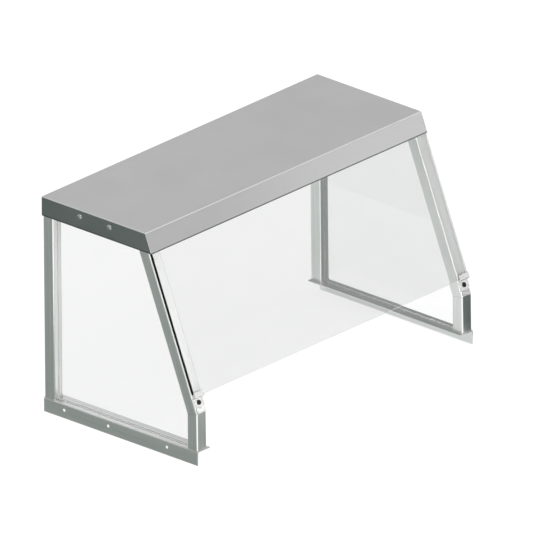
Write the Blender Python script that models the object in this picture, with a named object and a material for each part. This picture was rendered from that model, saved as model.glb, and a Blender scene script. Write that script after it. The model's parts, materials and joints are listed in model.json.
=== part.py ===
"""Countertop sneeze guard: two welded tube end frames, a folded canopy and lift-out front glass.

Metres, +Z up, +X along the length, -Y towards the customer. Z = 0 is the lower edge of the
base angles, and X = Y = 0 is the middle of the footprint.
"""
import math

import bmesh
import bpy
from mathutils import Matrix, Vector

# ---- driving dimensions (metres, radians) ----
TUBE = 0.0381                    # square tube, outside
TUBE_WALL = 0.0016
TUBE_RADIUS = 0.0046             # outside corner radius of the tube
FRAME_OUT = 0.5603               # x of the outer faces of both end frames
REAR_Y = 0.28685                 # rear face of the rear posts
FRONT_Y = -0.28645               # front face of the front posts
WELD_GAP = 0.0003                # clearance kept between touching pieces

BASE_OUT = 0.5620                # x of the outer faces of the base angles
BASE_REAR_Y = 0.28725
BASE_FRONT_Y = -0.28875
BASE_SHEET = 0.0025
BASE_FLANGE = 0.0508             # width of the horizontal leg
BASE_DROP = 0.0430               # height of the hanging leg
BASE_BEND = 0.0040               # outside bend radius
BASE_HOLE = 0.0088
BASE_HOLES_FROM_REAR = (0.075, 0.240, 0.460)
BASE_HOLE_Z = 0.0245

SLOPE = math.radians(21.8)       # lean of the front arms, from vertical
BEND_Z = 0.1536                  # height of the bend on the front face of the front post
RAIL_TOP = 0.6461

CANOPY_OUT = 0.5638              # x of the outer end faces of the canopy
CANOPY_TOP = 0.6480
CANOPY_BOTTOM = 0.5910
CANOPY_REAR_Y = 0.28875
CANOPY_SHEET = 0.0015
CANOPY_FRONT = 0.0120            # outer face of the front flange, ahead of the arms' front plane
CANOPY_BEND = 0.0022
BOLT_Y = (0.1454, 0.0344)        # rear and front bolt on each end
BOLT_HOLE = 0.0072

GLASS = 0.0095                   # front glass thickness
GLASS_LENGTH = 1.1180
GLASS_HEIGHT = 0.4572
GLASS_BACK = 0.0005              # back of the glass, ahead of the arms' front plane
GLASS_BOTTOM = 0.0487            # bottom edge, up the slope from the bend
PANE = 0.0060                    # end glass thickness
PANE_SLOT = 0.0070
PANE_DEPTH = 0.0080              # how far each pane reaches into the tubes
SLOT_FROM = 0.0100               # a slot cutter, from here to there off the tube's middle line
SLOT_TO = 0.0250
SILL = 0.0020

CLIP_SHEET = 0.0015
CLIP_OUT = 0.5609
CLIP_WIDTH = 0.0390
CLIP_UNDER = 0.0450              # underside of the shelf, up the slope from the bend
CLIP_LIP = 0.0625                # top of the lip
CLIP_TAB = 0.0165                # lower end of the tab
CLIP_FRONT = 0.0120
CLIP_SCREW = 0.0310              # screw centre, up the slope from the bend

SHANK = 0.0060                   # both kinds of screw
SCREW_HEAD = 0.0145
SCREW_DOME = 0.0034
BOLT_HEAD = 0.0170
BOLT_DOME = 0.0044
SOCKET = 0.0040                  # hexagon socket, across flats
NUT_HOLE = 0.0098                # bored in a tube for a rivet nut
NUT_BODY = 0.0090
NUT_BULGE = 0.0124
NUT_FLANGE = 0.0130
NUT_BORE = 0.0066
NUT_LENGTH = 0.0130
CLIP_HOLE = 0.0068
ROUND = 6                        # segments in a tube corner
TURN = 32                        # segments around a turned piece
SMOOTH_BELOW = math.radians(35)  # a steeper edge is shaded sharp

UP_SLOPE = Vector((0.0, math.sin(SLOPE), math.cos(SLOPE)))
OFF_SLOPE = Vector((0.0, -math.cos(SLOPE), math.sin(SLOPE)))
BEND = Vector((0.0, FRONT_Y, BEND_Z))
FRAME_X = FRAME_OUT - TUBE / 2   # x of the middle plane of an end frame
POST_FOOT = BASE_DROP + WELD_GAP
ARM_TOP_Y = FRONT_Y + (RAIL_TOP - BEND_Z) * math.tan(SLOPE)   # top front edge of the end frames


def clear_scene():
    for obj in list(bpy.data.objects):
        bpy.data.objects.remove(obj, do_unlink=True)


def material(name, colour, metallic, roughness, transmission=0.0):
    mat = bpy.data.materials.get(name)
    if mat:
        return mat
    mat = bpy.data.materials.new(name)
    mat.use_nodes = True
    shader = mat.node_tree.nodes["Principled BSDF"]
    shader.inputs["Base Color"].default_value = (*colour, 1.0)
    shader.inputs["Metallic"].default_value = metallic
    shader.inputs["Roughness"].default_value = roughness
    shader.inputs["Transmission Weight"].default_value = transmission
    return mat


def finish(bm, name, mat=None):
    """Turn a bmesh into a named object with one material, smooth except at its sharp edges."""
    bmesh.ops.recalc_face_normals(bm, faces=bm.faces)
    mesh = bpy.data.meshes.new(name)
    bm.to_mesh(mesh)
    bm.free()
    mesh.shade_smooth()
    mesh.set_sharp_from_angle(angle=SMOOTH_BELOW)
    obj = bpy.data.objects.new(name, mesh)
    bpy.context.scene.collection.objects.link(obj)
    if mat:
        mesh.materials.append(mat)
    return obj


def cut(target, cutter):
    """Subtract a hidden cutter from the target."""
    cutter.hide_render = True
    cutter.display_type = "WIRE"
    mod = target.modifiers.new("Cut_" + cutter.name, "BOOLEAN")
    mod.operation = "DIFFERENCE"
    mod.solver = "EXACT"
    mod.object = cutter


# ---- shared shapes ----
def rounded_outline(points, radii, segments=5):
    """2-D outline whose corners are replaced by arcs; a radius of 0 keeps the corner."""
    out = []
    count = len(points)
    for i, (point, radius) in enumerate(zip(points, radii)):
        here = Vector(point)
        to_prev = (Vector(points[i - 1]) - here).normalized()
        to_next = (Vector(points[(i + 1) % count]) - here).normalized()
        if radius <= 0.0:
            out.append(here)
            continue
        half = math.acos(max(-1.0, min(1.0, to_prev.dot(to_next)))) / 2
        reach = radius / math.tan(half)
        centre = here + (to_prev + to_next).normalized() * (radius / math.sin(half))
        start = here + to_prev * reach - centre
        end = here + to_next * reach - centre
        sweep = start.angle_signed(end)
        for k in range(segments + 1):
            turn = Matrix.Rotation(-sweep * k / segments, 2)
            out.append(centre + turn @ start)
    return out


def extrude_outline(outline, low, high, place):
    """Prism of a 2-D outline between two values of the third coordinate."""
    bm = bmesh.new()
    ring_a = [bm.verts.new(place(p.x, p.y, low)) for p in outline]
    ring_b = [bm.verts.new(place(p.x, p.y, high)) for p in outline]
    count = len(outline)
    for i in range(count):
        j = (i + 1) % count
        bm.faces.new((ring_a[i], ring_a[j], ring_b[j], ring_b[i]))
    bm.faces.new(ring_a)
    bm.faces.new(list(reversed(ring_b)))
    return bm


def in_side_view(y, z, x):
    return Vector((x, y, z))


def on_slope(off, up, x):
    """A point given by its distance ahead of and up the front plane of the arms."""
    return BEND + OFF_SLOPE * off + UP_SLOPE * up + Vector((x, 0.0, 0.0))


def box(name, low, high, mat=None):
    """Axis-aligned block."""
    bm = bmesh.new()
    bmesh.ops.create_cube(bm, size=1.0)
    low, high = Vector(low), Vector(high)
    for vert in bm.verts:
        vert.co = Vector(low[i] + (vert.co[i] + 0.5) * (high[i] - low[i]) for i in range(3))
    return finish(bm, name, mat)


def square_ring(size, radius, segments):
    """Outline of a rounded square centred on the origin."""
    half = size / 2
    corners = ((-half, -half), (half, -half), (half, half), (-half, half))
    return rounded_outline(corners, (radius,) * 4, segments)


def tube(name, point, along, plane_a, plane_b, mat):
    """Square tube on the line point + t * along, cut at both ends by planes (point, normal)."""
    side = Vector((1.0, 0.0, 0.0))
    across = along.cross(side).normalized()
    outer = square_ring(TUBE, TUBE_RADIUS, ROUND)
    inner = square_ring(TUBE - 2 * TUBE_WALL, TUBE_RADIUS - TUBE_WALL, ROUND)
    bm = bmesh.new()
    rings = []
    for outline in (outer, inner):
        for where, normal in (plane_a, plane_b):
            ring = []
            for p in outline:
                base = point + side * p.x + across * p.y
                reach = (where - base).dot(normal) / along.dot(normal)
                ring.append(bm.verts.new(base + along * reach))
            rings.append(ring)
    outer_a, outer_b, inner_a, inner_b = rings
    count = len(outer)
    for i in range(count):
        j = (i + 1) % count
        bm.faces.new((outer_a[i], outer_a[j], outer_b[j], outer_b[i]))
        bm.faces.new((inner_a[j], inner_a[i], inner_b[i], inner_b[j]))
        bm.faces.new((outer_a[j], outer_a[i], inner_a[i], inner_a[j]))
        bm.faces.new((outer_b[i], outer_b[j], inner_b[j], inner_b[i]))
    return finish(bm, name, mat)


def beam_cutter(name, start, along, length, inward, depth_a, depth_b, width):
    """Straight block along a tube, reaching from depth_a to depth_b towards the pane."""
    bm = bmesh.new()
    half = Vector((width / 2, 0.0, 0.0))
    corners = []
    for reach in (0.0, length):
        for depth in (depth_a, depth_b):
            for sign in (-1, 1):
                corners.append(bm.verts.new(start + along * reach + inward * depth + half * sign))
    a, b, c, d, e, f, g, h = corners
    for face in ((a, b, d, c), (e, g, h, f), (a, e, f, b), (c, d, h, g), (a, c, g, e), (b, f, h, d)):
        bm.faces.new(face)
    return finish(bm, name)


def frame_of(axis):
    """Unit axis and two unit directions square to it."""
    axis = axis.normalized()
    ref = Vector((0.0, 0.0, 1.0)) if abs(axis.z) < 0.9 else Vector((0.0, 1.0, 0.0))
    side_a = axis.cross(ref).normalized()
    return axis, side_a, axis.cross(side_a).normalized()


def turned(name, profile, origin, axis, mat=None, bored=False):
    """Turned piece from (distance along the axis, radius) pairs.

    A solid piece starts and ends on the axis; the profile of a bored one closes on itself.
    """
    axis, side_a, side_b = frame_of(axis)
    bm = bmesh.new()
    rings = []
    for along, radius in profile:
        centre = origin + axis * along
        if radius <= 0.0:
            rings.append([bm.verts.new(centre)])
            continue
        ring = []
        for k in range(TURN):
            angle = 2 * math.pi * k / TURN
            spoke = side_a * math.cos(angle) + side_b * math.sin(angle)
            ring.append(bm.verts.new(centre + spoke * radius))
        rings.append(ring)
    if bored:
        rings.append(rings[0])
    for ring_a, ring_b in zip(rings, rings[1:]):
        for k in range(TURN):
            m = (k + 1) % TURN
            if len(ring_a) == 1:
                bm.faces.new((ring_a[0], ring_b[k], ring_b[m]))
            elif len(ring_b) == 1:
                bm.faces.new((ring_a[k], ring_b[0], ring_a[m]))
            else:
                bm.faces.new((ring_a[k], ring_b[k], ring_b[m], ring_a[m]))
    return finish(bm, name, mat)


def drill(name, origin, axis, diameter, reach):
    """Cylinder cutter centred on the origin point, reaching both ways along the axis."""
    profile = ((-reach, 0.0), (-reach, diameter / 2), (reach, diameter / 2), (reach, 0.0))
    return turned(name, profile, origin, axis)


def hexagon(name, origin, axis, flats, low, high):
    """Six-sided cutter for a socket."""
    axis, side_a, side_b = frame_of(axis)
    radius = flats / math.sqrt(3.0)
    outline = []
    for k in range(6):
        outline.append(Vector((radius * math.cos(math.pi * k / 3), radius * math.sin(math.pi * k / 3))))

    def place(a, b, along):
        return origin + side_a * a + side_b * b + axis * along

    return finish(extrude_outline(outline, low, high, place), name)


# ---- end frames ----
def rear_post(side, sign, mat):
    x = sign * FRAME_X
    name = "rear_post_" + side
    point = Vector((x, REAR_Y - TUBE / 2, POST_FOOT))
    foot = (point, Vector((0.0, 0.0, 1.0)))
    corner = Vector((x, REAR_Y, RAIL_TOP))
    bisect = Vector((0.0, 1.0, -1.0)).normalized()
    top = (corner + bisect * (WELD_GAP / 2), bisect)
    post = tube(name, point, Vector((0.0, 0.0, 1.0)), foot, top, mat)
    start = Vector((x, REAR_Y - TUBE / 2, 0.0))
    slot = beam_cutter(name + "_slot", start, Vector((0.0, 0.0, 1.0)), 0.70,
                       Vector((0.0, -1.0, 0.0)), SLOT_FROM, SLOT_TO, PANE_SLOT)
    cut(post, slot)


def top_rail(side, sign, mat):
    x = sign * FRAME_X
    name = "top_rail_" + side
    along = Vector((0.0, 1.0, 0.0))
    point = Vector((x, 0.0, RAIL_TOP - TUBE / 2))
    front_normal = (along + UP_SLOPE).normalized()
    front = (Vector((x, ARM_TOP_Y, RAIL_TOP)) + front_normal * (WELD_GAP / 2), front_normal)
    rear_normal = Vector((0.0, 1.0, -1.0)).normalized()
    rear = (Vector((x, REAR_Y, RAIL_TOP)) - rear_normal * (WELD_GAP / 2), rear_normal)
    rail = tube(name, point, along, front, rear, mat)
    slot = beam_cutter(name + "_slot", point - along * 0.30, along, 0.70,
                       Vector((0.0, 0.0, -1.0)), SLOT_FROM, SLOT_TO, PANE_SLOT)
    cut(rail, slot)
    for label, y in zip(("rear", "front"), BOLT_Y):
        where = Vector((sign * FRAME_OUT, y, point.z))
        cut(rail, drill(name + "_hole_" + label, where, Vector((1.0, 0.0, 0.0)), NUT_HOLE, 0.006))


def front_post(side, sign, mat):
    x = sign * FRAME_X
    name = "front_post_" + side
    point = Vector((x, FRONT_Y + TUBE / 2, POST_FOOT))
    foot = (point, Vector((0.0, 0.0, 1.0)))
    normal = (Vector((0.0, 0.0, 1.0)) + UP_SLOPE).normalized()
    top = (BEND + Vector((x, 0.0, 0.0)) - normal * (WELD_GAP / 2), normal)
    post = tube(name, point, Vector((0.0, 0.0, 1.0)), foot, top, mat)
    start = Vector((x, FRONT_Y + TUBE / 2, 0.0))
    slot = beam_cutter(name + "_slot", start, Vector((0.0, 0.0, 1.0)), 0.25,
                       Vector((0.0, 1.0, 0.0)), SLOT_FROM, SLOT_TO, PANE_SLOT)
    cut(post, slot)


def sloped_arm(side, sign, mat):
    x = sign * FRAME_X
    name = "sloped_arm_" + side
    point = on_slope(-TUBE / 2, 0.0, x)
    low_normal = (Vector((0.0, 0.0, 1.0)) + UP_SLOPE).normalized()
    low = (BEND + Vector((x, 0.0, 0.0)) + low_normal * (WELD_GAP / 2), low_normal)
    top_normal = (Vector((0.0, 1.0, 0.0)) + UP_SLOPE).normalized()
    top = (Vector((x, ARM_TOP_Y, RAIL_TOP)) - top_normal * (WELD_GAP / 2), top_normal)
    arm = tube(name, point, UP_SLOPE.copy(), low, top, mat)
    slot = beam_cutter(name + "_slot", point - UP_SLOPE * 0.05, UP_SLOPE, 0.65,
                       -OFF_SLOPE, SLOT_FROM, SLOT_TO, PANE_SLOT)
    cut(arm, slot)
    where = on_slope(0.0, CLIP_SCREW, x)
    cut(arm, drill(name + "_hole", where, OFF_SLOPE, NUT_HOLE, 0.006))


def base_angle(side, sign, mat):
    """L-shaped angle: the posts stand on one leg, the other hangs down the end of the counter."""
    name = "base_angle_" + side
    top = BASE_DROP
    inner_x = BASE_OUT - BASE_FLANGE
    points = [(BASE_OUT, 0.0), (BASE_OUT, top), (inner_x, top), (inner_x, top - BASE_SHEET),
              (BASE_OUT - BASE_SHEET, top - BASE_SHEET), (BASE_OUT - BASE_SHEET, 0.0)]
    radii = (0.0004, BASE_BEND, 0.0004, 0.0004, BASE_BEND - BASE_SHEET, 0.0004)
    outline = rounded_outline(points, radii)

    def place(x, z, y):
        return Vector((sign * x, y, z))

    angle = finish(extrude_outline(outline, BASE_FRONT_Y, BASE_REAR_Y, place), name, mat)
    for i, reach in enumerate(BASE_HOLES_FROM_REAR):
        where = Vector((sign * BASE_OUT, BASE_REAR_Y - reach, BASE_HOLE_Z))
        cut(angle, drill(name + "_hole_%d" % i, where, Vector((1.0, 0.0, 0.0)), BASE_HOLE, 0.008))


def pane_outline(grow, foot):
    """Opening of an end frame in the side view, grown into the tubes on every side but the foot."""
    rear = REAR_Y - TUBE + grow
    top = RAIL_TOP - TUBE + grow
    front = FRONT_Y + TUBE - grow
    lean = FRONT_Y + (TUBE - grow) / math.cos(SLOPE)
    arm_top_y = lean + (top - BEND_Z) * math.tan(SLOPE)
    arm_low_z = BEND_Z + (front - lean) / math.tan(SLOPE)
    return [(rear, foot), (rear, top), (arm_top_y, top), (front, arm_low_z), (front, foot)]


def end_pane(side, sign, mat):
    x = sign * FRAME_X
    points = pane_outline(PANE_DEPTH, BASE_DROP + SILL + 2 * WELD_GAP)
    outline = rounded_outline(points, (0.0015,) * 5, 3)
    bm = extrude_outline(outline, x - PANE / 2, x + PANE / 2, in_side_view)
    finish(bm, "end_glass_" + side, mat)


def sill_strip(side, sign, mat):
    """Soft strip under the bottom edge of an end pane."""
    x = sign * FRAME_X
    low = (x - 0.0045, FRONT_Y + TUBE + WELD_GAP, BASE_DROP + WELD_GAP)
    high = (x + 0.0045, REAR_Y - TUBE - WELD_GAP, BASE_DROP + WELD_GAP + SILL)
    box("sill_strip_" + side, low, high, mat)


# ---- canopy ----
def canopy_outline(inset, bottom):
    """Side view of the canopy: straight rear, flat top, sloped front."""
    rear = CANOPY_REAR_Y - inset
    top = CANOPY_TOP - inset
    off = (CANOPY_FRONT - inset) / math.cos(SLOPE)
    front_top = FRONT_Y - off + (top - BEND_Z) * math.tan(SLOPE)
    front_low = FRONT_Y - off + (bottom - BEND_Z) * math.tan(SLOPE)
    return [(rear, bottom), (rear, top), (front_top, top), (front_low, bottom)]


def canopy(mat):
    """Folded top with four turned-down flanges, open underneath."""
    outline = rounded_outline(canopy_outline(0.0, CANOPY_BOTTOM), (0.0, CANOPY_BEND, CANOPY_BEND, 0.0))
    bm = extrude_outline(outline, -CANOPY_OUT, CANOPY_OUT, in_side_view)
    ends = []
    for edge in bm.edges:
        a, b = (v.co for v in edge.verts)
        at_end = abs(abs(a.x) - CANOPY_OUT) < 1e-6 and abs(a.x - b.x) < 1e-6
        if at_end and max(a.z, b.z) > CANOPY_BOTTOM + 1e-6:
            ends.append(edge)
    bmesh.ops.bevel(bm, geom=ends, offset=0.0012, segments=3, profile=0.5, affect="EDGES",
                    clamp_overlap=True)
    shell = finish(bm, "canopy", mat)
    bend = CANOPY_BEND - CANOPY_SHEET
    hollow = rounded_outline(canopy_outline(CANOPY_SHEET, CANOPY_BOTTOM - 0.02), (0.0, bend, bend, 0.0))
    reach = CANOPY_OUT - CANOPY_SHEET
    cut(shell, finish(extrude_outline(hollow, -reach, reach, in_side_view), "canopy_hollow"))
    for side, sign in (("left", -1), ("right", 1)):
        for label, y in zip(("rear", "front"), BOLT_Y):
            where = Vector((sign * CANOPY_OUT, y, RAIL_TOP - TUBE / 2))
            name = "canopy_hole_%s_%s" % (side, label)
            cut(shell, drill(name, where, Vector((1.0, 0.0, 0.0)), BOLT_HOLE, 0.004))


# ---- fasteners ----
def domed_screw(name, origin, axis, head, dome, length, mat):
    """Domed head on a plain shank; the axis points out of the head, the origin is under the head."""
    rise = 0.0006
    profile = [(-length, 0.0), (-length, SHANK / 2 - 0.0006), (-length + 0.0006, SHANK / 2),
               (0.0, SHANK / 2), (0.0, head / 2 - 0.0003), (rise / 2, head / 2), (rise, head / 2)]
    steps = 7
    for k in range(1, steps):
        angle = math.pi / 2 * k / steps
        profile.append((rise + (dome - rise) * math.sin(angle), head / 2 * math.cos(angle)))
    profile.append((dome, 0.0))
    screw = turned(name, profile, origin, axis, mat)
    cut(screw, hexagon(name + "_socket", origin, axis, SOCKET, dome - 0.0024, dome + 0.002))


def rivet_nut(name, origin, axis, flange, mat):
    """Open-ended insert set in a tube wall: the origin is on the tube face, the axis points out of it.

    The flange is how far it stands proud; 0 makes a flush nut.
    """
    bore = NUT_BORE / 2
    body = NUT_BODY / 2
    bulge = NUT_BULGE / 2
    inside = -TUBE_WALL
    if flange > 0.0:
        profile = [(flange, bore), (flange, NUT_FLANGE / 2), (WELD_GAP, NUT_FLANGE / 2), (WELD_GAP, body)]
    else:
        profile = [(-WELD_GAP, bore), (-WELD_GAP, body)]
    profile += [(inside - 0.0003, body), (inside - 0.0009, bulge), (inside - 0.0022, bulge),
                (inside - 0.0030, body), (-NUT_LENGTH, body), (-NUT_LENGTH, bore)]
    turned(name, profile, origin, axis, mat, bored=True)


def canopy_fixings(side, sign, steel, nut_steel):
    outward = Vector((float(sign), 0.0, 0.0))
    for label, y in zip(("rear", "front"), BOLT_Y):
        z = RAIL_TOP - TUBE / 2
        under_head = Vector((sign * (CANOPY_OUT + WELD_GAP), y, z))
        domed_screw("canopy_bolt_%s_%s" % (side, label), under_head, outward,
                    BOLT_HEAD, BOLT_DOME, 0.0160, steel)
        face = Vector((sign * FRAME_OUT, y, z))
        gap = CANOPY_OUT - CANOPY_SHEET - FRAME_OUT
        rivet_nut("rail_nut_%s_%s" % (side, label), face, outward, gap - WELD_GAP, nut_steel)


# ---- front glass and its clips ----
def front_glass(mat):
    """Lift-out pane lying on the front faces of both arms."""
    half = GLASS_LENGTH / 2
    corners = ((-half, 0.0), (half, 0.0), (half, GLASS_HEIGHT), (-half, GLASS_HEIGHT))
    outline = rounded_outline(corners, (0.0020,) * 4, 3)
    origin = on_slope(GLASS_BACK + GLASS / 2, GLASS_BOTTOM, 0.0)

    def place(x, up, off):
        return Vector((x, 0.0, 0.0)) + UP_SLOPE * up + OFF_SLOPE * off

    bm = extrude_outline(outline, -GLASS / 2, GLASS / 2, place)
    rim = []
    for edge in bm.edges:
        a, b = (v.co for v in edge.verts)
        if abs(a.dot(OFF_SLOPE) - b.dot(OFF_SLOPE)) < 1e-6:
            rim.append(edge)
    bmesh.ops.bevel(bm, geom=rim, offset=0.0008, segments=1, profile=0.5, affect="EDGES",
                    clamp_overlap=True)
    glass = finish(bm, "front_glass", mat)
    glass.location = origin


def glass_clip(side, sign, mat):
    """J-shaped clip: tab on the arm, shelf under the glass, lip in front of it."""
    name = "glass_clip_" + side
    back = WELD_GAP
    shelf = CLIP_UNDER + CLIP_SHEET
    lip = CLIP_FRONT - CLIP_SHEET
    points = [(back, CLIP_TAB), (back + CLIP_SHEET, CLIP_TAB), (back + CLIP_SHEET, CLIP_UNDER),
              (CLIP_FRONT, CLIP_UNDER), (CLIP_FRONT, CLIP_LIP), (lip, CLIP_LIP), (lip, shelf),
              (back, shelf)]
    radii = (0.0, 0.0, 0.0008, 0.0022, 0.0005, 0.0005, 0.0007, 0.0012)
    outline = rounded_outline(points, radii)
    low = sign * CLIP_OUT
    high = sign * (CLIP_OUT - CLIP_WIDTH)
    bm = extrude_outline(outline, min(low, high), max(low, high), on_slope)
    corners = []
    for edge in bm.edges:
        a, b = (v.co - BEND for v in edge.verts)
        at_tab = abs(a.dot(UP_SLOPE) - CLIP_TAB) < 1e-6 and abs(b.dot(UP_SLOPE) - CLIP_TAB) < 1e-6
        if at_tab and abs(a.x - b.x) < 1e-6:
            corners.append(edge)
    bmesh.ops.bevel(bm, geom=corners, offset=0.006, segments=5, profile=0.5, affect="EDGES",
                    clamp_overlap=True)
    clip = finish(bm, name, mat)
    where = on_slope(0.0, CLIP_SCREW, sign * FRAME_X)
    cut(clip, drill(name + "_hole", where, OFF_SLOPE, CLIP_HOLE, 0.006))


def clip_fixings(side, sign, dark_steel, nut_steel):
    where = on_slope(2 * WELD_GAP + CLIP_SHEET, CLIP_SCREW, sign * FRAME_X)
    domed_screw("clip_screw_" + side, where, OFF_SLOPE, SCREW_HEAD, SCREW_DOME, 0.0140, dark_steel)
    rivet_nut("arm_nut_" + side, on_slope(0.0, CLIP_SCREW, sign * FRAME_X), OFF_SLOPE, 0.0, nut_steel)


def glass_cushion(side, sign, mat):
    """Soft L-shaped liner in the clip: the glass stands on it and stops sideways against it."""
    floor_low = CLIP_UNDER + CLIP_SHEET + WELD_GAP
    floor_high = GLASS_BOTTOM - WELD_GAP
    wall_in = GLASS_LENGTH / 2 + WELD_GAP
    points = [(wall_in + 0.0012, floor_low), (wall_in + 0.0012, floor_low + 0.0095),
              (wall_in, floor_low + 0.0095), (wall_in, floor_high),
              (CLIP_OUT - CLIP_WIDTH + 0.0005, floor_high), (CLIP_OUT - CLIP_WIDTH + 0.0005, floor_low)]
    outline = rounded_outline(points, (0.0, 0.0004, 0.0004, 0.0, 0.0, 0.0))

    def place(x, up, off):
        return on_slope(off, up, sign * x)

    bm = extrude_outline(outline, GLASS_BACK + 0.0002, CLIP_FRONT - CLIP_SHEET - WELD_GAP, place)
    finish(bm, "glass_cushion_" + side, mat)


def build():
    clear_scene()
    tube_steel = material("frame_stainless", (0.62, 0.63, 0.63), 1.0, 0.32)
    sheet_steel = material("canopy_stainless", (0.60, 0.60, 0.60), 1.0, 0.36)
    base_steel = material("base_stainless", (0.58, 0.59, 0.59), 1.0, 0.34)
    clip_steel = material("clip_stainless", (0.68, 0.68, 0.68), 1.0, 0.25)
    bolt_steel = material("bolt_stainless", (0.66, 0.66, 0.66), 1.0, 0.22)
    dark_steel = material("dark_screw_steel", (0.10, 0.10, 0.10), 0.9, 0.35)
    nut_steel = material("zinc_steel", (0.55, 0.55, 0.52), 1.0, 0.45)
    front = material("front_glass", (0.93, 0.96, 0.95), 0.0, 0.03, 0.95)
    end = material("end_glass", (0.94, 0.96, 0.96), 0.0, 0.03, 0.95)
    vinyl = material("clear_vinyl", (0.86, 0.87, 0.86), 0.0, 0.45, 0.2)
    for side, sign in (("left", -1), ("right", 1)):
        base_angle(side, sign, base_steel)
        rear_post(side, sign, tube_steel)
        top_rail(side, sign, tube_steel)
        sloped_arm(side, sign, tube_steel)
        front_post(side, sign, tube_steel)
        end_pane(side, sign, end)
        sill_strip(side, sign, vinyl)
        canopy_fixings(side, sign, bolt_steel, nut_steel)
        glass_clip(side, sign, clip_steel)
        clip_fixings(side, sign, dark_steel, nut_steel)
        glass_cushion(side, sign, vinyl)
    canopy(sheet_steel)
    front_glass(front)


build()
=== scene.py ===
"""Looks of a countertop sneeze guard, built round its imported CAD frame.

Metres, +Z up, +X along the length, -Y towards the customer, as the frame is.
"""

import json
import math

import bmesh
import bpy
from mathutils import Matrix, Quaternion, Vector

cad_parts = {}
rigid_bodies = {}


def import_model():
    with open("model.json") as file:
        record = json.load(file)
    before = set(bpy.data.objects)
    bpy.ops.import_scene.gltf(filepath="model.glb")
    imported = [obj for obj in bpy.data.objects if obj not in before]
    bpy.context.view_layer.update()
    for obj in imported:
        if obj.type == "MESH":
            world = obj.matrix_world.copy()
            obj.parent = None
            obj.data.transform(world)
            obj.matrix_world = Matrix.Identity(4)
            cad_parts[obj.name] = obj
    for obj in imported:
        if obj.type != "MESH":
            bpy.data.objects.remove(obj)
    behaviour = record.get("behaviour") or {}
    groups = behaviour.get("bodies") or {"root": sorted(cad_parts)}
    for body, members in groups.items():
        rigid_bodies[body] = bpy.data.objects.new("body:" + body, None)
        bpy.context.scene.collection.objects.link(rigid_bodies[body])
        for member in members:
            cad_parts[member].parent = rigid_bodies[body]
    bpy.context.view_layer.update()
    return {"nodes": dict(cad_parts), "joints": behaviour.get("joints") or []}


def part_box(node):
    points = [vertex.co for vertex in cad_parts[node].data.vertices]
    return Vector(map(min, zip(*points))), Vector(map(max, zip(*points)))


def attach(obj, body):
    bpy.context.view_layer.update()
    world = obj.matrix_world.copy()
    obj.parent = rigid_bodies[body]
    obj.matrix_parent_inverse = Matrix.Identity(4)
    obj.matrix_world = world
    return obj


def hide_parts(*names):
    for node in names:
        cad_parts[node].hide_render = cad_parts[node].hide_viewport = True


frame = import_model()

# ---- driving dimensions, from the frame where it has them (metres, radians) ----
SIDES = (("left", -1), ("right", 1))
UP_SLOPE = Vector(frame["joints"][0]["axis"]).normalized()
OFF_SLOPE = Vector((0.0, -UP_SLOPE.z, UP_SLOPE.y))
SLOPE = math.atan2(UP_SLOPE.y, UP_SLOPE.z)

POST_LOW, POST_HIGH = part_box("rear_post_left")
FRONT_POST_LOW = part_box("front_post_left")[0]
CANOPY_LOW, CANOPY_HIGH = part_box("canopy")
BASE_LOW, BASE_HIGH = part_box("base_angle_left")
PANE_LOW, PANE_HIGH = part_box("end_glass_left")
GLASS_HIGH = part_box("front_glass")[1]

GAP = 0.0003                     # clearance between touching pieces
TUBE = POST_HIGH.x - POST_LOW.x
TUBE_WALL = 0.0016
TUBE_RADIUS = 0.0046
FRAME_OUT = -POST_LOW.x
FRAME_X = FRAME_OUT - TUBE / 2
REAR_Y = POST_HIGH.y
FRONT_Y = FRONT_POST_LOW.y
FOOT_Z = POST_LOW.z
BEND_Z = 0.1536                  # height of the bend on the front face of the front post
RAIL_TOP = 0.6461
BEND = Vector((0.0, FRONT_Y, BEND_Z))
ARM_TOP_Y = FRONT_Y + (RAIL_TOP - BEND_Z) * math.tan(SLOPE)
BOLT_Z = RAIL_TOP - TUBE / 2

SHEET = 0.0015                   # canopy and clip sheet
CANOPY_BEND = 0.0022
CANOPY_FRONT = 0.0120            # outer face of the front flange, ahead of the arms
BOLT_HOLE = 0.0072

BASE_OUT = -BASE_LOW.x
BASE_SHEET = 0.0025
BASE_BEND = 0.0040
BASE_HOLE = 0.0088
BASE_HOLES_FROM_REAR = (0.075, 0.240, 0.460)
BASE_HOLE_Z = 0.0245

GLASS = 0.0095
GLASS_HEIGHT = 0.4572
GLASS_BOTTOM = 0.0487            # up the slope from the bend
GLASS_BACK = 0.0005
PANE = PANE_HIGH.x - PANE_LOW.x
PANE_SLOT = 0.0070
PANE_DEPTH = 0.0080              # how far each pane reaches into the tubes
PANE_CORNER = 0.0015
GLASS_CORNER = 0.0020

CLIP_OUT = 0.5609
CLIP_WIDTH = 0.0390
CLIP_UNDER = 0.0450
CLIP_LIP = 0.0625
CLIP_TAB = 0.0165
CLIP_FRONT = 0.0120
CLIP_SCREW = 0.0310
CLIP_HOLE = 0.0068

SHANK = 0.0060                   # both kinds of screw
SOCKET = 0.0040                  # hexagon socket, across flats
BOLT_DOME, BOLT_LENGTH = 0.0044, 0.0160
SCREW_HEAD, SCREW_DOME, SCREW_LENGTH = 0.0145, 0.0034, 0.0140
DRILL_LIP = 0.0002               # broken rim of the holes in canopy and clips
BEAD_HEIGHT = 0.00012            # of the beads at the mitres, dressed nearly flush
BEAD = 0.0008                    # half width of a bead at a mitre
FILLET = 0.0016                  # half width of the beads round the posts' feet

ARC = 8                          # segments in a bend
TURN = 48                        # segments round a turned piece
SHARP = math.radians(32)         # a steeper edge is shaded sharp
BUMP_STRENGTH = 0.4

STRIP_AT = Vector((0.81, -0.87, 0.17))   # from a sloped face to the light it mirrors into the view
CORNER_AT = Vector((-1.09, -1.02, 0.18))  # from the outer front corner of an arm to its light

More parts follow.
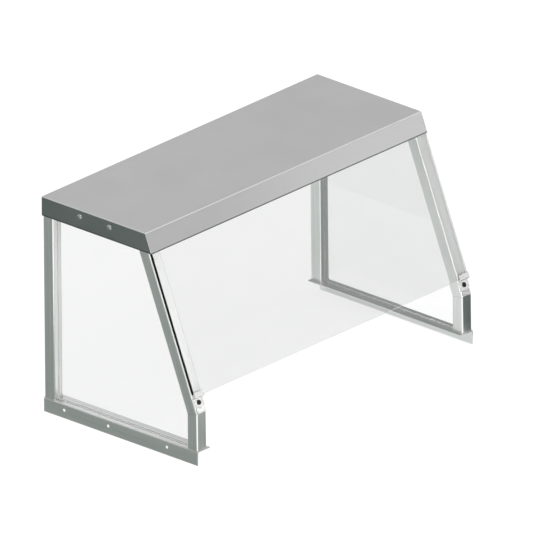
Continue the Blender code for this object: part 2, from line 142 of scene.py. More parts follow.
# ---- the view ----
AZIMUTH = math.radians(-47.22)
ELEVATION = math.radians(23.56)
ROLL = math.radians(-0.554)
VIEW_WIDTH = 1.472
LOOK_AT = Vector((0.0242, -0.0123, 0.3308))


# ---- meshes ----
def arc_corner(before, here, after, radius, segments):
    """Points of the arc that rounds one corner of a 2-D outline."""
    if radius <= 0.0:
        return [here]
    to_prev = (before - here).normalized()
    to_next = (after - here).normalized()
    half = math.acos(max(-1.0, min(1.0, to_prev.dot(to_next)))) / 2
    reach = radius / math.tan(half)
    centre = here + (to_prev + to_next).normalized() * (radius / math.sin(half))
    start = here + to_prev * reach - centre
    end = here + to_next * reach - centre
    sweep = start.angle_signed(end)
    return [centre + Matrix.Rotation(-sweep * k / segments, 2) @ start for k in range(segments + 1)]


def rounded(points, radii, segments=ARC, closed=True):
    """2-D outline with its corners rounded; an open one keeps its two ends."""
    points = [Vector(p) for p in points]
    out = []
    for i, (here, radius) in enumerate(zip(points, radii)):
        at_end = not closed and i in (0, len(points) - 1)
        before, after = points[i - 1], points[(i + 1) % len(points)]
        out += [here] if at_end else arc_corner(before, here, after, radius, segments)
    return out


def prism(outline, low, high, place):
    """Solid between two values of the third coordinate."""
    bm = bmesh.new()
    ring_a = [bm.verts.new(place(p.x, p.y, low)) for p in outline]
    ring_b = [bm.verts.new(place(p.x, p.y, high)) for p in outline]
    for i in range(len(outline)):
        j = (i + 1) % len(outline)
        bm.faces.new((ring_a[i], ring_a[j], ring_b[j], ring_b[i]))
    bm.faces.new(list(reversed(ring_a)))
    bm.faces.new(ring_b)
    return bm


def side_view(y, z, x):
    return Vector((x, y, z))


def on_slope(off, up, x):
    """A point by its distance ahead of and up the front plane of the arms."""
    return BEND + OFF_SLOPE * off + UP_SLOPE * up + Vector((x, 0.0, 0.0))


def soften(bm, width, angle=40.0, segments=2):
    """Round every edge sharper than the angle by a small radius."""
    bm.normal_update()
    limit = math.radians(angle)
    edges = [e for e in bm.edges if len(e.link_faces) == 2 and e.calc_face_angle(0.0) > limit]
    bmesh.ops.bevel(bm, geom=edges, offset=width, segments=segments, profile=0.5, affect="EDGES",
                    clamp_overlap=True)


def to_object(name, bm, materials=()):
    bmesh.ops.recalc_face_normals(bm, faces=bm.faces)
    mesh = bpy.data.meshes.new(name)
    bm.to_mesh(mesh)
    bm.free()
    mesh.shade_smooth()
    mesh.set_sharp_from_angle(angle=SHARP)
    obj = bpy.data.objects.new(name, mesh)
    bpy.context.scene.collection.objects.link(obj)
    for mat in materials:
        mesh.materials.append(mat)
    return obj


def piece(name, bm, materials, nodes=(), body="guard", cutters=()):
    """A finished visual piece: cut, on its body, and standing for its CAD nodes."""
    obj = to_object(name, bm, materials)
    for cutter in cutters:
        mod = obj.modifiers.new("Cut", "BOOLEAN")
        mod.operation = "DIFFERENCE"
        mod.solver = "EXACT"
        mod.object = cutter
    if cutters:
        graph = bpy.context.evaluated_depsgraph_get()
        cut = bpy.data.meshes.new_from_object(obj.evaluated_get(graph))
        obj.modifiers.clear()
        obj.data = cut
        cut.shade_smooth()
        cut.set_sharp_from_angle(angle=SHARP)
        for cutter in cutters:
            bpy.data.objects.remove(cutter, do_unlink=True)
    flat = obj.modifiers.new("Flat faces", "WEIGHTED_NORMAL")
    flat.keep_sharp = True
    flat.weight = 100
    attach(obj, body)
    if nodes:
        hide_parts(*nodes)
    return obj


def frame_of(axis):
    """The axis and two directions square to it, all of unit length."""
    axis = axis.normalized()
    ref = Vector((0.0, 0.0, 1.0)) if abs(axis.z) < 0.9 else Vector((0.0, 1.0, 0.0))
    side_a = axis.cross(ref).normalized()
    return axis, side_a, axis.cross(side_a).normalized()


def turned(profile, origin, axis):
    """Turned solid from (distance along the axis, radius) pairs that start and end on the axis."""
    axis, side_a, side_b = frame_of(axis)
    bm = bmesh.new()
    rings = []
    for along, radius in profile:
        centre = origin + axis * along
        if radius <= 0.0:
            rings.append([bm.verts.new(centre)])
            continue
        ring = []
        for k in range(TURN):
            angle = 2 * math.pi * k / TURN
            spoke = side_a * math.cos(angle) + side_b * math.sin(angle)
            ring.append(bm.verts.new(centre + spoke * radius))
        rings.append(ring)
    for ring_a, ring_b in zip(rings, rings[1:]):
        for k in range(TURN):
            m = (k + 1) % TURN
            if len(ring_a) == 1:
                bm.faces.new((ring_a[0], ring_b[k], ring_b[m]))
            elif len(ring_b) == 1:
                bm.faces.new((ring_a[k], ring_b[0], ring_a[m]))
            else:
                bm.faces.new((ring_a[k], ring_b[k], ring_b[m], ring_a[m]))
    return bm


def lipped_drill(origin, axis, diameter, sheet, lip=0.0004):
    """Cutter for a hole in a sheet whose outer face is at the origin, with both rims broken."""
    bore, reach = diameter / 2, 0.004
    wide = bore + lip + reach
    profile = ((-sheet - reach, 0.0), (-sheet - reach, wide), (-sheet, bore + lip), (-sheet + lip, bore),
               (-lip, bore), (0.0, bore + lip), (reach, wide), (reach, 0.0))
    return to_object("cutter", turned(profile, origin, axis))


def hexagon(origin, axis, flats, low, high):
    """Cutter for a hexagon socket."""
    axis, side_a, side_b = frame_of(axis)
    corner = Vector((flats / math.sqrt(3.0), 0.0))
    outline = [Matrix.Rotation(math.pi * k / 3, 2) @ corner for k in range(6)]

    def place(a, b, along):
        return origin + side_a * a + side_b * b + axis * along

    return to_object("cutter", prism(outline, low, high, place))


# ---- materials ----
def node_tree(name):
    mat = bpy.data.materials.new(name)
    mat.use_nodes = True
    tree = mat.node_tree
    return mat, tree, tree.nodes["Principled BSDF"]


def noise(tree, coords, scale, detail=2.0, rough=0.5):
    node = tree.nodes.new("ShaderNodeTexNoise")
    node.inputs["Scale"].default_value = scale
    node.inputs["Detail"].default_value = detail
    node.inputs["Roughness"].default_value = rough
    tree.links.new(coords, node.inputs["Vector"])
    return node.outputs["Fac"]


def mapped(tree, scale=(1.0, 1.0, 1.0), turn=0.0):
    """Object coordinates, turned about X and then stretched."""
    coords = tree.nodes.new("ShaderNodeTexCoord").outputs["Object"]
    if turn:
        rotate = tree.nodes.new("ShaderNodeMapping")
        rotate.inputs["Rotation"].default_value = (turn, 0.0, 0.0)
        tree.links.new(coords, rotate.inputs["Vector"])
        coords = rotate.outputs["Vector"]
    stretch = tree.nodes.new("ShaderNodeMapping")
    stretch.inputs["Scale"].default_value = scale
    tree.links.new(coords, stretch.inputs["Vector"])
    return stretch.outputs["Vector"]


def ranged(tree, value, low, high, from_low=0.3, from_high=0.7):
    node = tree.nodes.new("ShaderNodeMapRange")
    node.inputs["From Min"].default_value = from_low
    node.inputs["From Max"].default_value = from_high
    node.inputs["To Min"].default_value = low
    node.inputs["To Max"].default_value = high
    tree.links.new(value, node.inputs["Value"])
    return node.outputs["Result"]


def math_node(tree, operation, a, b):
    node = tree.nodes.new("ShaderNodeMath")
    node.operation = operation
    for socket, value in zip(node.inputs, (a, b)):
        if isinstance(value, (int, float)):
            socket.default_value = value
        else:
            tree.links.new(value, socket)
    return node.outputs["Value"]


def tinted(tree, factor, dark, light):
    """Colour that runs from dark to light; each is a colour or another node's output."""
    node = tree.nodes.new("ShaderNodeMix")
    node.data_type = "RGBA"
    for name, value in (("A", dark), ("B", light)):
        if isinstance(value, tuple):
            node.inputs[name].default_value = (*value, 1.0)
        else:
            tree.links.new(value, node.inputs[name])
    tree.links.new(factor, node.inputs["Factor"])
    return node.outputs["Result"]


def mixed_shader(tree, factor, first, second, output):
    """Send two shaders, mixed by the factor, to the surface of the output node."""
    mix = tree.nodes.new("ShaderNodeMixShader")
    tree.links.new(factor, mix.inputs["Fac"])
    tree.links.new(first, mix.inputs[1])
    tree.links.new(second, mix.inputs[2])
    tree.links.new(mix.outputs["Shader"], tree.nodes[output].inputs["Surface"])


def bumped(tree, shader, height, distance):
    node = tree.nodes.new("ShaderNodeBump")
    node.inputs["Strength"].default_value = BUMP_STRENGTH
    node.inputs["Distance"].default_value = distance
    tree.links.new(height, node.inputs["Height"])
    tree.links.new(node.outputs["Normal"], shader.inputs["Normal"])


def brushed(name, colour, roughness, grain, turn=0.0, contrast=0.05, spread=0.06, depth=0.00004):
    """Stainless with a directional grain, drawn-out streaks and faint handling marks."""
    mat, tree, shader = node_tree(name)
    along, across = 14.0, 1500.0
    fine = noise(tree, mapped(tree, tuple(along if g else across for g in grain), turn), 1.0, 3.0)
    streak = noise(tree, mapped(tree, tuple(2.2 if g else 190.0 for g in grain), turn), 1.0, 2.0)
    marks = noise(tree, mapped(tree), 7.0, 5.0, 0.6)
    both = math_node(tree, "ADD", math_node(tree, "MULTIPLY", fine, 0.45),
                     math_node(tree, "MULTIPLY", streak, 0.55))
    dark = tuple(c * (1.0 - contrast) for c in colour)
    light = tuple(min(1.0, c * (1.0 + contrast)) for c in colour)
    colours = tinted(tree, ranged(tree, both, 0.0, 1.0, 0.35, 0.65), dark, light)
    tree.links.new(colours, shader.inputs["Base Color"])
    worn = math_node(tree, "ADD", ranged(tree, both, -spread / 2, spread / 2),
                     ranged(tree, marks, -0.02, 0.03))
    tree.links.new(math_node(tree, "ADD", worn, roughness), shader.inputs["Roughness"])
    shader.inputs["Metallic"].default_value = 1.0
    bumped(tree, shader, fine, depth)
    return mat


def painted_edge_shade(mat, low, width):
    """Painted shade: darken a sheet's finish in a narrow band along its lower edge."""
    tree = mat.node_tree
    shader = tree.nodes["Principled BSDF"]
    finish = shader.inputs["Base Color"].links[0].from_socket
    split = tree.nodes.new("ShaderNodeSeparateXYZ")
    tree.links.new(mapped(tree), split.inputs["Vector"])
    above = ranged(tree, split.outputs["Z"], 0.0, 1.0, low, low + width)
    # The near-black colour below is the painted shade.
    tree.links.new(tinted(tree, above, (0.20, 0.205, 0.20), finish), shader.inputs["Base Color"])


def turned_metal(name, colour, roughness):
    """Bright fastener metal with fine random scratches."""
    mat, tree, shader = node_tree(name)
    scratch = noise(tree, mapped(tree, (900.0, 300.0, 900.0)), 1.0, 3.0)
    dark, light = tuple(c * 0.9 for c in colour), tuple(min(1.0, c * 1.08) for c in colour)
    tree.links.new(tinted(tree, ranged(tree, scratch, 0.0, 1.0), dark, light), shader.inputs["Base Color"])
    tree.links.new(ranged(tree, scratch, roughness - 0.05, roughness + 0.08), shader.inputs["Roughness"])
    shader.inputs["Metallic"].default_value = 1.0
    bumped(tree, shader, scratch, 0.00005)
    return mat


def black_oxide(name):
    """Dark screw finish, rubbed brighter in patches."""
    mat, tree, shader = node_tree(name)
    rubbed = noise(tree, mapped(tree), 420.0, 4.0, 0.6)
    colours = tinted(tree, ranged(tree, rubbed, 0.0, 1.0, 0.5, 0.75), (0.03, 0.031, 0.03),
                     (0.16, 0.16, 0.155))
    tree.links.new(colours, shader.inputs["Base Color"])
    tree.links.new(ranged(tree, rubbed, 0.34, 0.22), shader.inputs["Roughness"])
    shader.inputs["Metallic"].default_value = 0.85
    bumped(tree, shader, rubbed, 0.00006)
    return mat


def weld_metal(name):
    """Weld bead, brushed back and faintly straw-coloured by heat."""
    mat, tree, shader = node_tree(name)
    ripple = noise(tree, mapped(tree), 700.0, 3.0)
    heat = noise(tree, mapped(tree), 60.0, 2.0)
    tree.links.new(tinted(tree, ranged(tree, heat, 0.0, 1.0), (0.56, 0.54, 0.50), (0.66, 0.66, 0.65)),
                   shader.inputs["Base Color"])
    tree.links.new(ranged(tree, ripple, 0.30, 0.46), shader.inputs["Roughness"])
    shader.inputs["Metallic"].default_value = 1.0
    bumped(tree, shader, ripple, 0.00015)
    return mat


def clear_glass(name, dark, light):
    """Clear tempered glass with a faint tint and a trace of wiping haze."""
    mat, tree, shader = node_tree(name)
    haze = noise(tree, mapped(tree, (3.0, 3.0, 9.0), SLOPE), 2.0, 4.0, 0.6)
    tree.links.new(tinted(tree, ranged(tree, haze, 0.0, 1.0), dark, light), shader.inputs["Base Color"])
    tree.links.new(ranged(tree, haze, 0.0, 0.012, 0.45, 0.8), shader.inputs["Roughness"])
    shader.inputs["IOR"].default_value = 1.5
    shader.inputs["Transmission Weight"].default_value = 1.0
    return mat


def painted_glass_rim(name):
    """Polished end of the thick pane, its look painted: near-black painted shade from outside, pale painted
    light where it shows through the pane's face.
    """
    mat, tree, shader = node_tree(name)
    depth = noise(tree, mapped(tree, (1.0, 40.0, 12.0)), 3.0, 2.0)
    dark = tinted(tree, ranged(tree, depth, 0.0, 1.0), (0.002, 0.004, 0.003), (0.006, 0.010, 0.008))
    from_inside = tree.nodes.new("ShaderNodeNewGeometry").outputs["Backfacing"]
    # Backfacing picks the pale painted light seen through the pane; otherwise the dark painted shade.
    tree.links.new(tinted(tree, from_inside, dark, (0.97, 0.98, 0.975)), shader.inputs["Base Color"])
    tree.links.new(ranged(tree, depth, 0.12, 0.2), shader.inputs["Roughness"])
    shader.inputs["Specular IOR Level"].default_value = 0.15
    return mat


def ground_glass(name):
    """Edge of the pane, ground white and slightly uneven."""
    mat, tree, shader = node_tree(name)
    grit = noise(tree, mapped(tree), 500.0, 3.0)
    tree.links.new(tinted(tree, ranged(tree, grit, 0.0, 1.0), (0.83, 0.86, 0.85), (0.90, 0.92, 0.91)),
                   shader.inputs["Base Color"])
    tree.links.new(ranged(tree, grit, 0.45, 0.65), shader.inputs["Roughness"])
    bumped(tree, shader, grit, 0.00005)
    return mat


def vinyl(name, clear):
    """Soft liner with a matt, slightly uneven skin, that lets part of the light through."""
    mat, tree, shader = node_tree(name)
    skin = noise(tree, mapped(tree), 260.0, 3.0)
    tree.links.new(tinted(tree, ranged(tree, skin, 0.0, 1.0), (0.78, 0.80, 0.79), (0.88, 0.89, 0.88)),
                   shader.inputs["Base Color"])
    tree.links.new(ranged(tree, skin, 0.42, 0.55), shader.inputs["Roughness"])
    shader.inputs["Transmission Weight"].default_value = clear
    shader.inputs["IOR"].default_value = 1.5
    bumped(tree, shader, skin, 0.0001)
    return mat


ALONG_X, ALONG_Y, ALONG_Z = (1, 0, 0), (0, 1, 0), (0, 0, 1)
STEEL = (0.72, 0.725, 0.72)
canopy_steel = brushed("canopy_steel", STEEL, 0.24, ALONG_X, contrast=0.012, spread=0.02, depth=0.000012)
# Painted shade along the lower edge of the canopy's flanges.
painted_edge_shade(canopy_steel, CANOPY_LOW.z + 0.0022, 0.0016)
post_steel = brushed("post_steel", STEEL, 0.30, ALONG_Z, contrast=0.08)
rail_steel = brushed("rail_steel", STEEL, 0.30, ALONG_Y, contrast=0.08)
arm_steel = brushed("arm_steel", STEEL, 0.30, ALONG_Z, turn=SLOPE, contrast=0.08)
# Painted highlight: steel far brighter than the rest, put on the middle faces of the tubes' rounded
# corners.
corner_highlight_steel = brushed("corner_highlight_steel", (0.95, 0.955, 0.95), 0.24, ALONG_Z, contrast=0.03, depth=0.00001)
base_steel = brushed("base_steel", STEEL, 0.32, ALONG_Y, contrast=0.07)
clip_steel = brushed("clip_steel", (0.68, 0.68, 0.67), 0.26, ALONG_X)
# Painted shade: the stainless bolts get a much darker colour than the other steel, standing in for dark
# reflections in their domes.
painted_shade_bolt_steel = turned_metal("painted_shade_bolt_steel", (0.42, 0.44, 0.43), 0.20)
nut_zinc = turned_metal("nut_zinc", (0.58, 0.58, 0.55), 0.36)
screw_black = black_oxide("screw_black")
weld = weld_metal("weld_metal")
front_clear = clear_glass("front_glass_clear", (0.829, 0.834, 0.831), (0.839, 0.844, 0.841))
end_clear = clear_glass("end_glass_clear", (0.943, 0.947, 0.944), (0.952, 0.956, 0.953))
rim_painted_shade = painted_glass_rim("painted_glass_rim")
ground_edge = ground_glass("ground_edge")
liner = vinyl("clear_vinyl", 0.25)
sill_vinyl = vinyl("sill_vinyl", 0.4)


# ---- end frames ----
def tube_section(half, radius):
    """Open path round a square tube, from one lip of the pane slot to the other."""
    lip = PANE_SLOT / 2
    points = ((half, lip), (half, half), (-half, half), (-half, -half), (half, -half), (half, -lip))
    return rounded(points, (0.0, radius, radius, radius, radius, 0.0), closed=False)


def slotted_tube(name, node, corner, along, inward, planes, mat):
    """Square tube, slotted inward for the pane, with a painted highlight on its corners: their middle faces
    take a much brighter steel.

    The planes that cut its two ends are each a point and a normal.
    """
    centre = corner + inward * (TUBE / 2)
    side = Vector((1.0, 0.0, 0.0))
    bm = bmesh.new()
    rings = []
    for section in (tube_section(TUBE / 2, TUBE_RADIUS),
                    tube_section(TUBE / 2 - TUBE_WALL, TUBE_RADIUS - TUBE_WALL)):
        for where, normal in planes:
            ring = []
            for p in section:
                base = centre + inward * p.x + side * p.y
                ring.append(bm.verts.new(base + along * ((where - base).dot(normal) / along.dot(normal))))
            rings.append(ring)
    outer_a, outer_b, inner_a, inner_b = rings
    last = len(outer_a) - 1
    for i in range(last):
        j = i + 1
        wall = bm.faces.new((outer_a[i], outer_a[j], outer_b[j], outer_b[i]))
        wall.normal_update()
        skew = min(abs(wall.normal.dot(side)), abs(wall.normal.dot(inward)))
        # The middle faces of each rounded corner take the painted highlight.
        wall.material_index = 1 if skew > 0.45 else 0
        bm.faces.new((inner_a[j], inner_a[i], inner_b[i], inner_b[j]))
        bm.faces.new((outer_a[j], outer_a[i], inner_a[i], inner_a[j]))
        bm.faces.new((outer_b[i], outer_b[j], inner_b[j], inner_b[i]))
    for i in (0, last):
        bm.faces.new((outer_a[i], outer_b[i], inner_b[i], inner_a[i]))
    piece(name, bm, (mat, corner_highlight_steel), (node,))


def weld_bead(name, centre, along, normal, inward, width, height):
    """Low rippled bead round a tube, in the plane of its joint."""
    side = Vector((1.0, 0.0, 0.0))
    half = TUBE / 2
    corners = ((-half, -half), (half, -half), (half, half), (-half, half))
    path = []
    for p in rounded(corners, (TUBE_RADIUS,) * 4, 6):
        base = centre + inward * p.x + side * p.y
        path.append(base + along * ((centre - base).dot(normal) / along.dot(normal)))
    points = []
    for a, b in zip(path, path[1:] + path[:1]):
        steps = max(1, round((b - a).length / 0.0012))
        points += [a.lerp(b, k / steps) for k in range(steps)]
    bm = bmesh.new()
    rings = []
    count = len(points)
    for i, point in enumerate(points):
        ahead = (points[(i + 1) % count] - points[i - 1]).normalized()
        out = normal.cross(ahead).normalized()
        if out.dot(point - centre) < 0:
            out = -out
        swell = 1.0 + 0.10 * math.sin(i * 2.2)
        ring = []
        for k in range(ARC):
            angle = 2 * math.pi * k / ARC
            offset = normal * (width * math.cos(angle)) + out * (height * math.sin(angle))
            ring.append(bm.verts.new(point + offset * swell))
        rings.append(ring)
    for i in range(count):
        ring_a, ring_b = rings[i], rings[(i + 1) % count]
        for k in range(ARC):
            m = (k + 1) % ARC
            bm.faces.new((ring_a[k], ring_b[k], ring_b[m], ring_a[m]))
    piece(name, bm, (weld,))


def end_frame(side, sign):
    """Rear post, top rail, sloped arm and front post, mitred and welded."""
    x = sign * FRAME_X
    level = Vector((0.0, 0.0, 1.0))
    corners = [Vector((x, y, z)) for y, z in ((REAR_Y, FOOT_Z), (REAR_Y, RAIL_TOP), (ARM_TOP_Y, RAIL_TOP),
                                              (FRONT_Y, BEND_Z), (FRONT_Y, FOOT_Z))]
    runs = [(b - a).normalized() for a, b in zip(corners, corners[1:])]
    joints = [(runs[k] + runs[k + 1]).normalized() for k in range(3)]
    parts = (("rear_post_", post_steel), ("top_rail_", rail_steel), ("sloped_arm_", arm_steel),
             ("front_post_", post_steel))
    for k, (prefix, mat) in enumerate(parts):
        along = runs[k]
        inward = Vector((0.0, -along.z, along.y))
        start = (corners[k], level) if k == 0 else (corners[k] + joints[k - 1] * (GAP / 2), joints[k - 1])
        end = (corners[k + 1], level) if k == 3 else (corners[k + 1] - joints[k] * (GAP / 2), joints[k])
        slotted_tube(prefix + side + "_tube", prefix + side, corners[k], along, inward, (start, end), mat)
        if k < 3:
            reach = (corners[k + 1] - corners[k]).length
            centre = corners[k] + along * reach + inward * (TUBE / 2)
            centre += along * ((corners[k + 1] - centre).dot(joints[k]) / along.dot(joints[k]))
            weld_bead("weld_%s_%d" % (side, k + 1), centre, along, joints[k], inward, BEAD,
                      BEAD_HEIGHT)
    for label, corner in (("rear", corners[0]), ("front", corners[4])):
        inward = Vector((0.0, -1.0 if label == "rear" else 1.0, 0.0))
        centre = corner + inward * (TUBE / 2)
        weld_bead("weld_%s_foot_%s" % (side, label), centre, level, level, inward, FILLET, FILLET)


def base_angle(side, sign):
    """Angle under the posts, its other leg hanging down the end of the counter."""
    node = "base_angle_" + side
    top = BASE_HIGH.z
    inner_x = -BASE_HIGH.x
    points = ((BASE_OUT, 0.0), (BASE_OUT, top), (inner_x, top), (inner_x, top - BASE_SHEET),
              (BASE_OUT - BASE_SHEET, top - BASE_SHEET), (BASE_OUT - BASE_SHEET, 0.0))
    outline = rounded(points, (0.0, BASE_BEND, 0.0, 0.0, BASE_BEND - BASE_SHEET, 0.0))

    def place(x, z, y):
        return Vector((sign * x, y, z))

    bm = prism(outline, BASE_LOW.y, BASE_HIGH.y, place)
    soften(bm, 0.00015, segments=1)
    out = Vector((float(sign), 0.0, 0.0))
    drills = []
    for reach in BASE_HOLES_FROM_REAR:
        where = Vector((sign * BASE_OUT, BASE_HIGH.y - reach, BASE_HOLE_Z))
        drills.append(lipped_drill(where, out, BASE_HOLE, BASE_SHEET))
    piece(node + "_sheet", bm, (base_steel,), (node,), cutters=drills)


def pane_outline(depth, foot):
    """Outline that runs at one depth inside the inner faces of the four tubes, down to the foot."""
    rear, top = REAR_Y - TUBE + depth, RAIL_TOP - TUBE + depth
    front = FRONT_Y + TUBE - depth
    lean = FRONT_Y + (TUBE - depth) / math.cos(SLOPE)
    points = ((rear, foot), (rear, top), (lean + (top - BEND_Z) * math.tan(SLOPE), top),
              (front, BEND_Z + (front - lean) / math.tan(SLOPE)), (front, foot))
    return rounded(points, (PANE_CORNER,) * 5, 4)


def end_pane(side, sign):
    """Fixed glass in an end frame, its edges inside the tubes' slots."""
    node = "end_glass_" + side
    x = sign * FRAME_X
    bm = prism(pane_outline(PANE_DEPTH, PANE_LOW.z), x - PANE / 2, x + PANE / 2, side_view)
    soften(bm, 0.0006)
    obj = piece(node + "_pane", bm, (end_clear,), (node,))
    obj.visible_shadow = False
    obj.visible_glossy = False


def glazing_channel(side, sign):
    """Thin vinyl that wraps the hidden edges of an end pane and fills the slot beside it."""
    x = sign * FRAME_X
    half, spare = PANE_SLOT / 2 - 0.00005, 0.00003
    wrap, proud, through = 0.0012, 0.0006, 0.01
    low = PANE_LOW.z
    bm = prism(pane_outline(PANE_DEPTH + wrap, low), x - half, x + half, side_view)
    window = prism(pane_outline(-proud, low - through), x - 2 * half, x + 2 * half, side_view)
    pane = prism(pane_outline(PANE_DEPTH + spare, low - through), x - PANE / 2 - spare,
                 x + PANE / 2 + spare, side_view)
    piece("glazing_channel_" + side, bm, (liner,),
          cutters=(to_object("cutter", window), to_object("cutter", pane)))


def sill_strip(side):
    """Soft strip that an end pane stands on, its two upper edges rounded."""
    node = "sill_strip_" + side
    low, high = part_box(node)
    outline = rounded(((low.x, low.z), (high.x, low.z), (high.x, high.z), (low.x, high.z)),
                      (0.0, 0.0, 0.0006, 0.0006), 4)
    bm = prism(outline, low.y, high.y, lambda x, z, y: Vector((x, y, z)))
    piece(node + "_vinyl", bm, (sill_vinyl,), (node,))


# ---- canopy ----
def canopy_block(inset, bottom, bend):
    """Closed block with the canopy's outline, all but its bottom edges rounded."""
    off = (CANOPY_FRONT - inset) / math.cos(SLOPE)
    top, rear, end = CANOPY_HIGH.z - inset, CANOPY_HIGH.y - inset, CANOPY_HIGH.x - inset
    front_top = FRONT_Y - off + (top - BEND_Z) * math.tan(SLOPE)
    front_low = FRONT_Y - off + (bottom - BEND_Z) * math.tan(SLOPE)
    outline = [Vector(p) for p in ((rear, bottom), (rear, top), (front_top, top), (front_low, bottom))]
    bm = prism(outline, -end, end, side_view)
    folds = [e for e in bm.edges if max(v.co.z for v in e.verts) > bottom + 1e-6]
    bmesh.ops.bevel(bm, geom=folds, offset=bend, segments=ARC // 2, profile=0.5, affect="EDGES",
                    clamp_overlap=True)
    return bm


def canopy():
    """Sheet folded down on four sides, its corners welded and ground round."""
    hollow = to_object("cutter", canopy_block(SHEET, CANOPY_LOW.z - 0.02, CANOPY_BEND - SHEET))
    cutters = [hollow]
    for side, sign in SIDES:
        out = Vector((float(sign), 0.0, 0.0))
        for label in ("rear", "front"):
            low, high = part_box("canopy_bolt_%s_%s" % (side, label))
            where = Vector((sign * CANOPY_HIGH.x, (low.y + high.y) / 2, BOLT_Z))
            cutters.append(lipped_drill(where, out, BOLT_HOLE, SHEET, DRILL_LIP))
    block = canopy_block(0.0, CANOPY_LOW.z, CANOPY_BEND)
    piece("canopy_sheet", block, (canopy_steel,), ("canopy",), cutters=cutters)


# ---- fasteners ----
def domed_screw(node, origin, axis, size, mat):
    """Domed head with a thin straight rim and a hexagon socket, on a plain shank.

    The size is the head's diameter, the dome's height and the shank's length.
    """
    head, dome, length = size
    rim, steps = 0.0007, 10
    profile = [(-length, 0.0), (-length, SHANK / 2 - 0.0006), (-length + 0.0006, SHANK / 2),
               (0.0, SHANK / 2), (0.0, head / 2 - 0.0003), (0.0002, head / 2), (rim, head / 2)]
    for k in range(1, steps):
        angle = math.pi / 2 * k / steps
        profile.append((rim + (dome - rim) * math.sin(angle), head / 2 * math.cos(angle)))
    profile.append((dome, 0.0))
    socket = hexagon(origin, axis, SOCKET, dome - 0.0024, dome + 0.002)
    piece(node + "_head", turned(profile, origin, axis), (mat,), (node,), cutters=(socket,))


def canopy_bolts(side, sign):
    """The two bolts through one end of the canopy."""
    out = Vector((float(sign), 0.0, 0.0))
    for label in ("rear", "front"):
        node = "canopy_bolt_%s_%s" % (side, label)
        low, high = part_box(node)
        origin = Vector((sign * (CANOPY_HIGH.x + GAP), (low.y + high.y) / 2, (low.z + high.z) / 2))
        size = (high.z - low.z, BOLT_DOME, BOLT_LENGTH)
        domed_screw(node, origin, out, size, painted_shade_bolt_steel)


# ---- front glass and its clips ----
def front_glass():
    """Lift-out pane: its end edges carry painted shade from outside and painted light from inside, its top
    and bottom edges ground.
    """
    half = GLASS_HIGH.x
    corners = ((-half, 0.0), (half, 0.0), (half, GLASS_HEIGHT), (-half, GLASS_HEIGHT))
    outline = rounded(corners, (GLASS_CORNER,) * 4, 4)

    def place(x, up, off):
        return on_slope(off, GLASS_BOTTOM + up, x)

    bm = prism(outline, GLASS_BACK, GLASS_BACK + GLASS, place)
    soften(bm, 0.0005)
    bm.normal_update()
    for face in bm.faces:
        # End faces take the painted rim.
        if abs(face.normal.x) > 0.6:
            face.material_index = 1
        elif abs(face.normal.dot(UP_SLOPE)) > 0.6:
            face.material_index = 2
    obj = piece("front_glass_pane", bm, (front_clear, rim_painted_shade, ground_edge),
                ("front_glass",), body="front_glass")
    obj.visible_shadow = False


def glass_clip(side, sign):
    """J-shaped clip: tab on the arm, shelf under the glass, lip in front of it."""
    node = "glass_clip_" + side
    back, shelf, lip = GAP, CLIP_UNDER + SHEET, CLIP_FRONT - SHEET
    points = ((back, CLIP_TAB), (back + SHEET, CLIP_TAB), (back + SHEET, CLIP_UNDER),
              (CLIP_FRONT, CLIP_UNDER), (CLIP_FRONT, CLIP_LIP), (lip, CLIP_LIP), (lip, shelf),
              (back, shelf))
    outline = rounded(points, (0.0, 0.0, 0.0008, 0.0030, 0.0005, 0.0005, 0.0015, 0.0012), 6)
    ends = sorted((sign * CLIP_OUT, sign * (CLIP_OUT - CLIP_WIDTH)))
    bm = prism(outline, ends[0], ends[1], on_slope)
    foot = []
    for edge in bm.edges:
        a, b = (v.co - BEND for v in edge.verts)
        low = max(a.dot(UP_SLOPE), b.dot(UP_SLOPE)) < CLIP_TAB + 1e-5
        if low and abs(a.x - b.x) < 1e-6:
            foot.append(edge)
    bmesh.ops.bevel(bm, geom=foot, offset=0.006, segments=6, profile=0.5, affect="EDGES",
                    clamp_overlap=True)
    soften(bm, 0.00025, 50.0, 1)
    where = on_slope(GAP + SHEET, CLIP_SCREW, sign * FRAME_X)
    drill = lipped_drill(where, OFF_SLOPE, CLIP_HOLE, SHEET, DRILL_LIP)
    piece(node + "_sheet", bm, (clip_steel,), (node,), cutters=(drill,))
    origin = on_slope(2 * GAP + SHEET, CLIP_SCREW, sign * FRAME_X)
    size = (SCREW_HEAD, SCREW_DOME, SCREW_LENGTH)
    domed_screw("clip_screw_" + side, origin, OFF_SLOPE, size, screw_black)


def glass_cushion(side, sign):
    """Vinyl liner that the glass stands on and stops against."""
    node = "glass_cushion_" + side
    floor_low = CLIP_UNDER + SHEET + GAP
    floor_high = GLASS_BOTTOM - GAP
    wall_in = GLASS_HIGH.x + GAP
    wall_out, wall_top = wall_in + 0.0012, floor_low + 0.0095
    inner = CLIP_OUT - CLIP_WIDTH + 0.0005
    points = ((wall_out, floor_low), (wall_out, wall_top), (wall_in, wall_top), (wall_in, floor_high),
              (inner, floor_high), (inner, floor_low))
    outline = rounded(points, (0.0, 0.0005, 0.0005, 0.0, 0.0004, 0.0), 4)

    def place(x, up, off):
        return on_slope(off, up, sign * x)

    bm = prism(outline, GLASS_BACK + 0.0002, CLIP_FRONT - SHEET - GAP, place)
    piece(node + "_vinyl", bm, (liner,), (node,))


# ---- scene ----
def stage_material(name, colour, glow):
    """Matt material that glows; a bright one shows almost no shadow."""
    mat, _, shader = node_tree(name)
    shader.inputs["Base Color"].default_value = (*colour, 1.0)
    shader.inputs["Roughness"].default_value = 0.9
    shader.inputs["Specular IOR Level"].default_value = 0.0
    shader.inputs["Emission Color"].default_value = (1.0, 1.0, 1.0, 1.0)
    shader.inputs["Emission Strength"].default_value = glow
    return mat


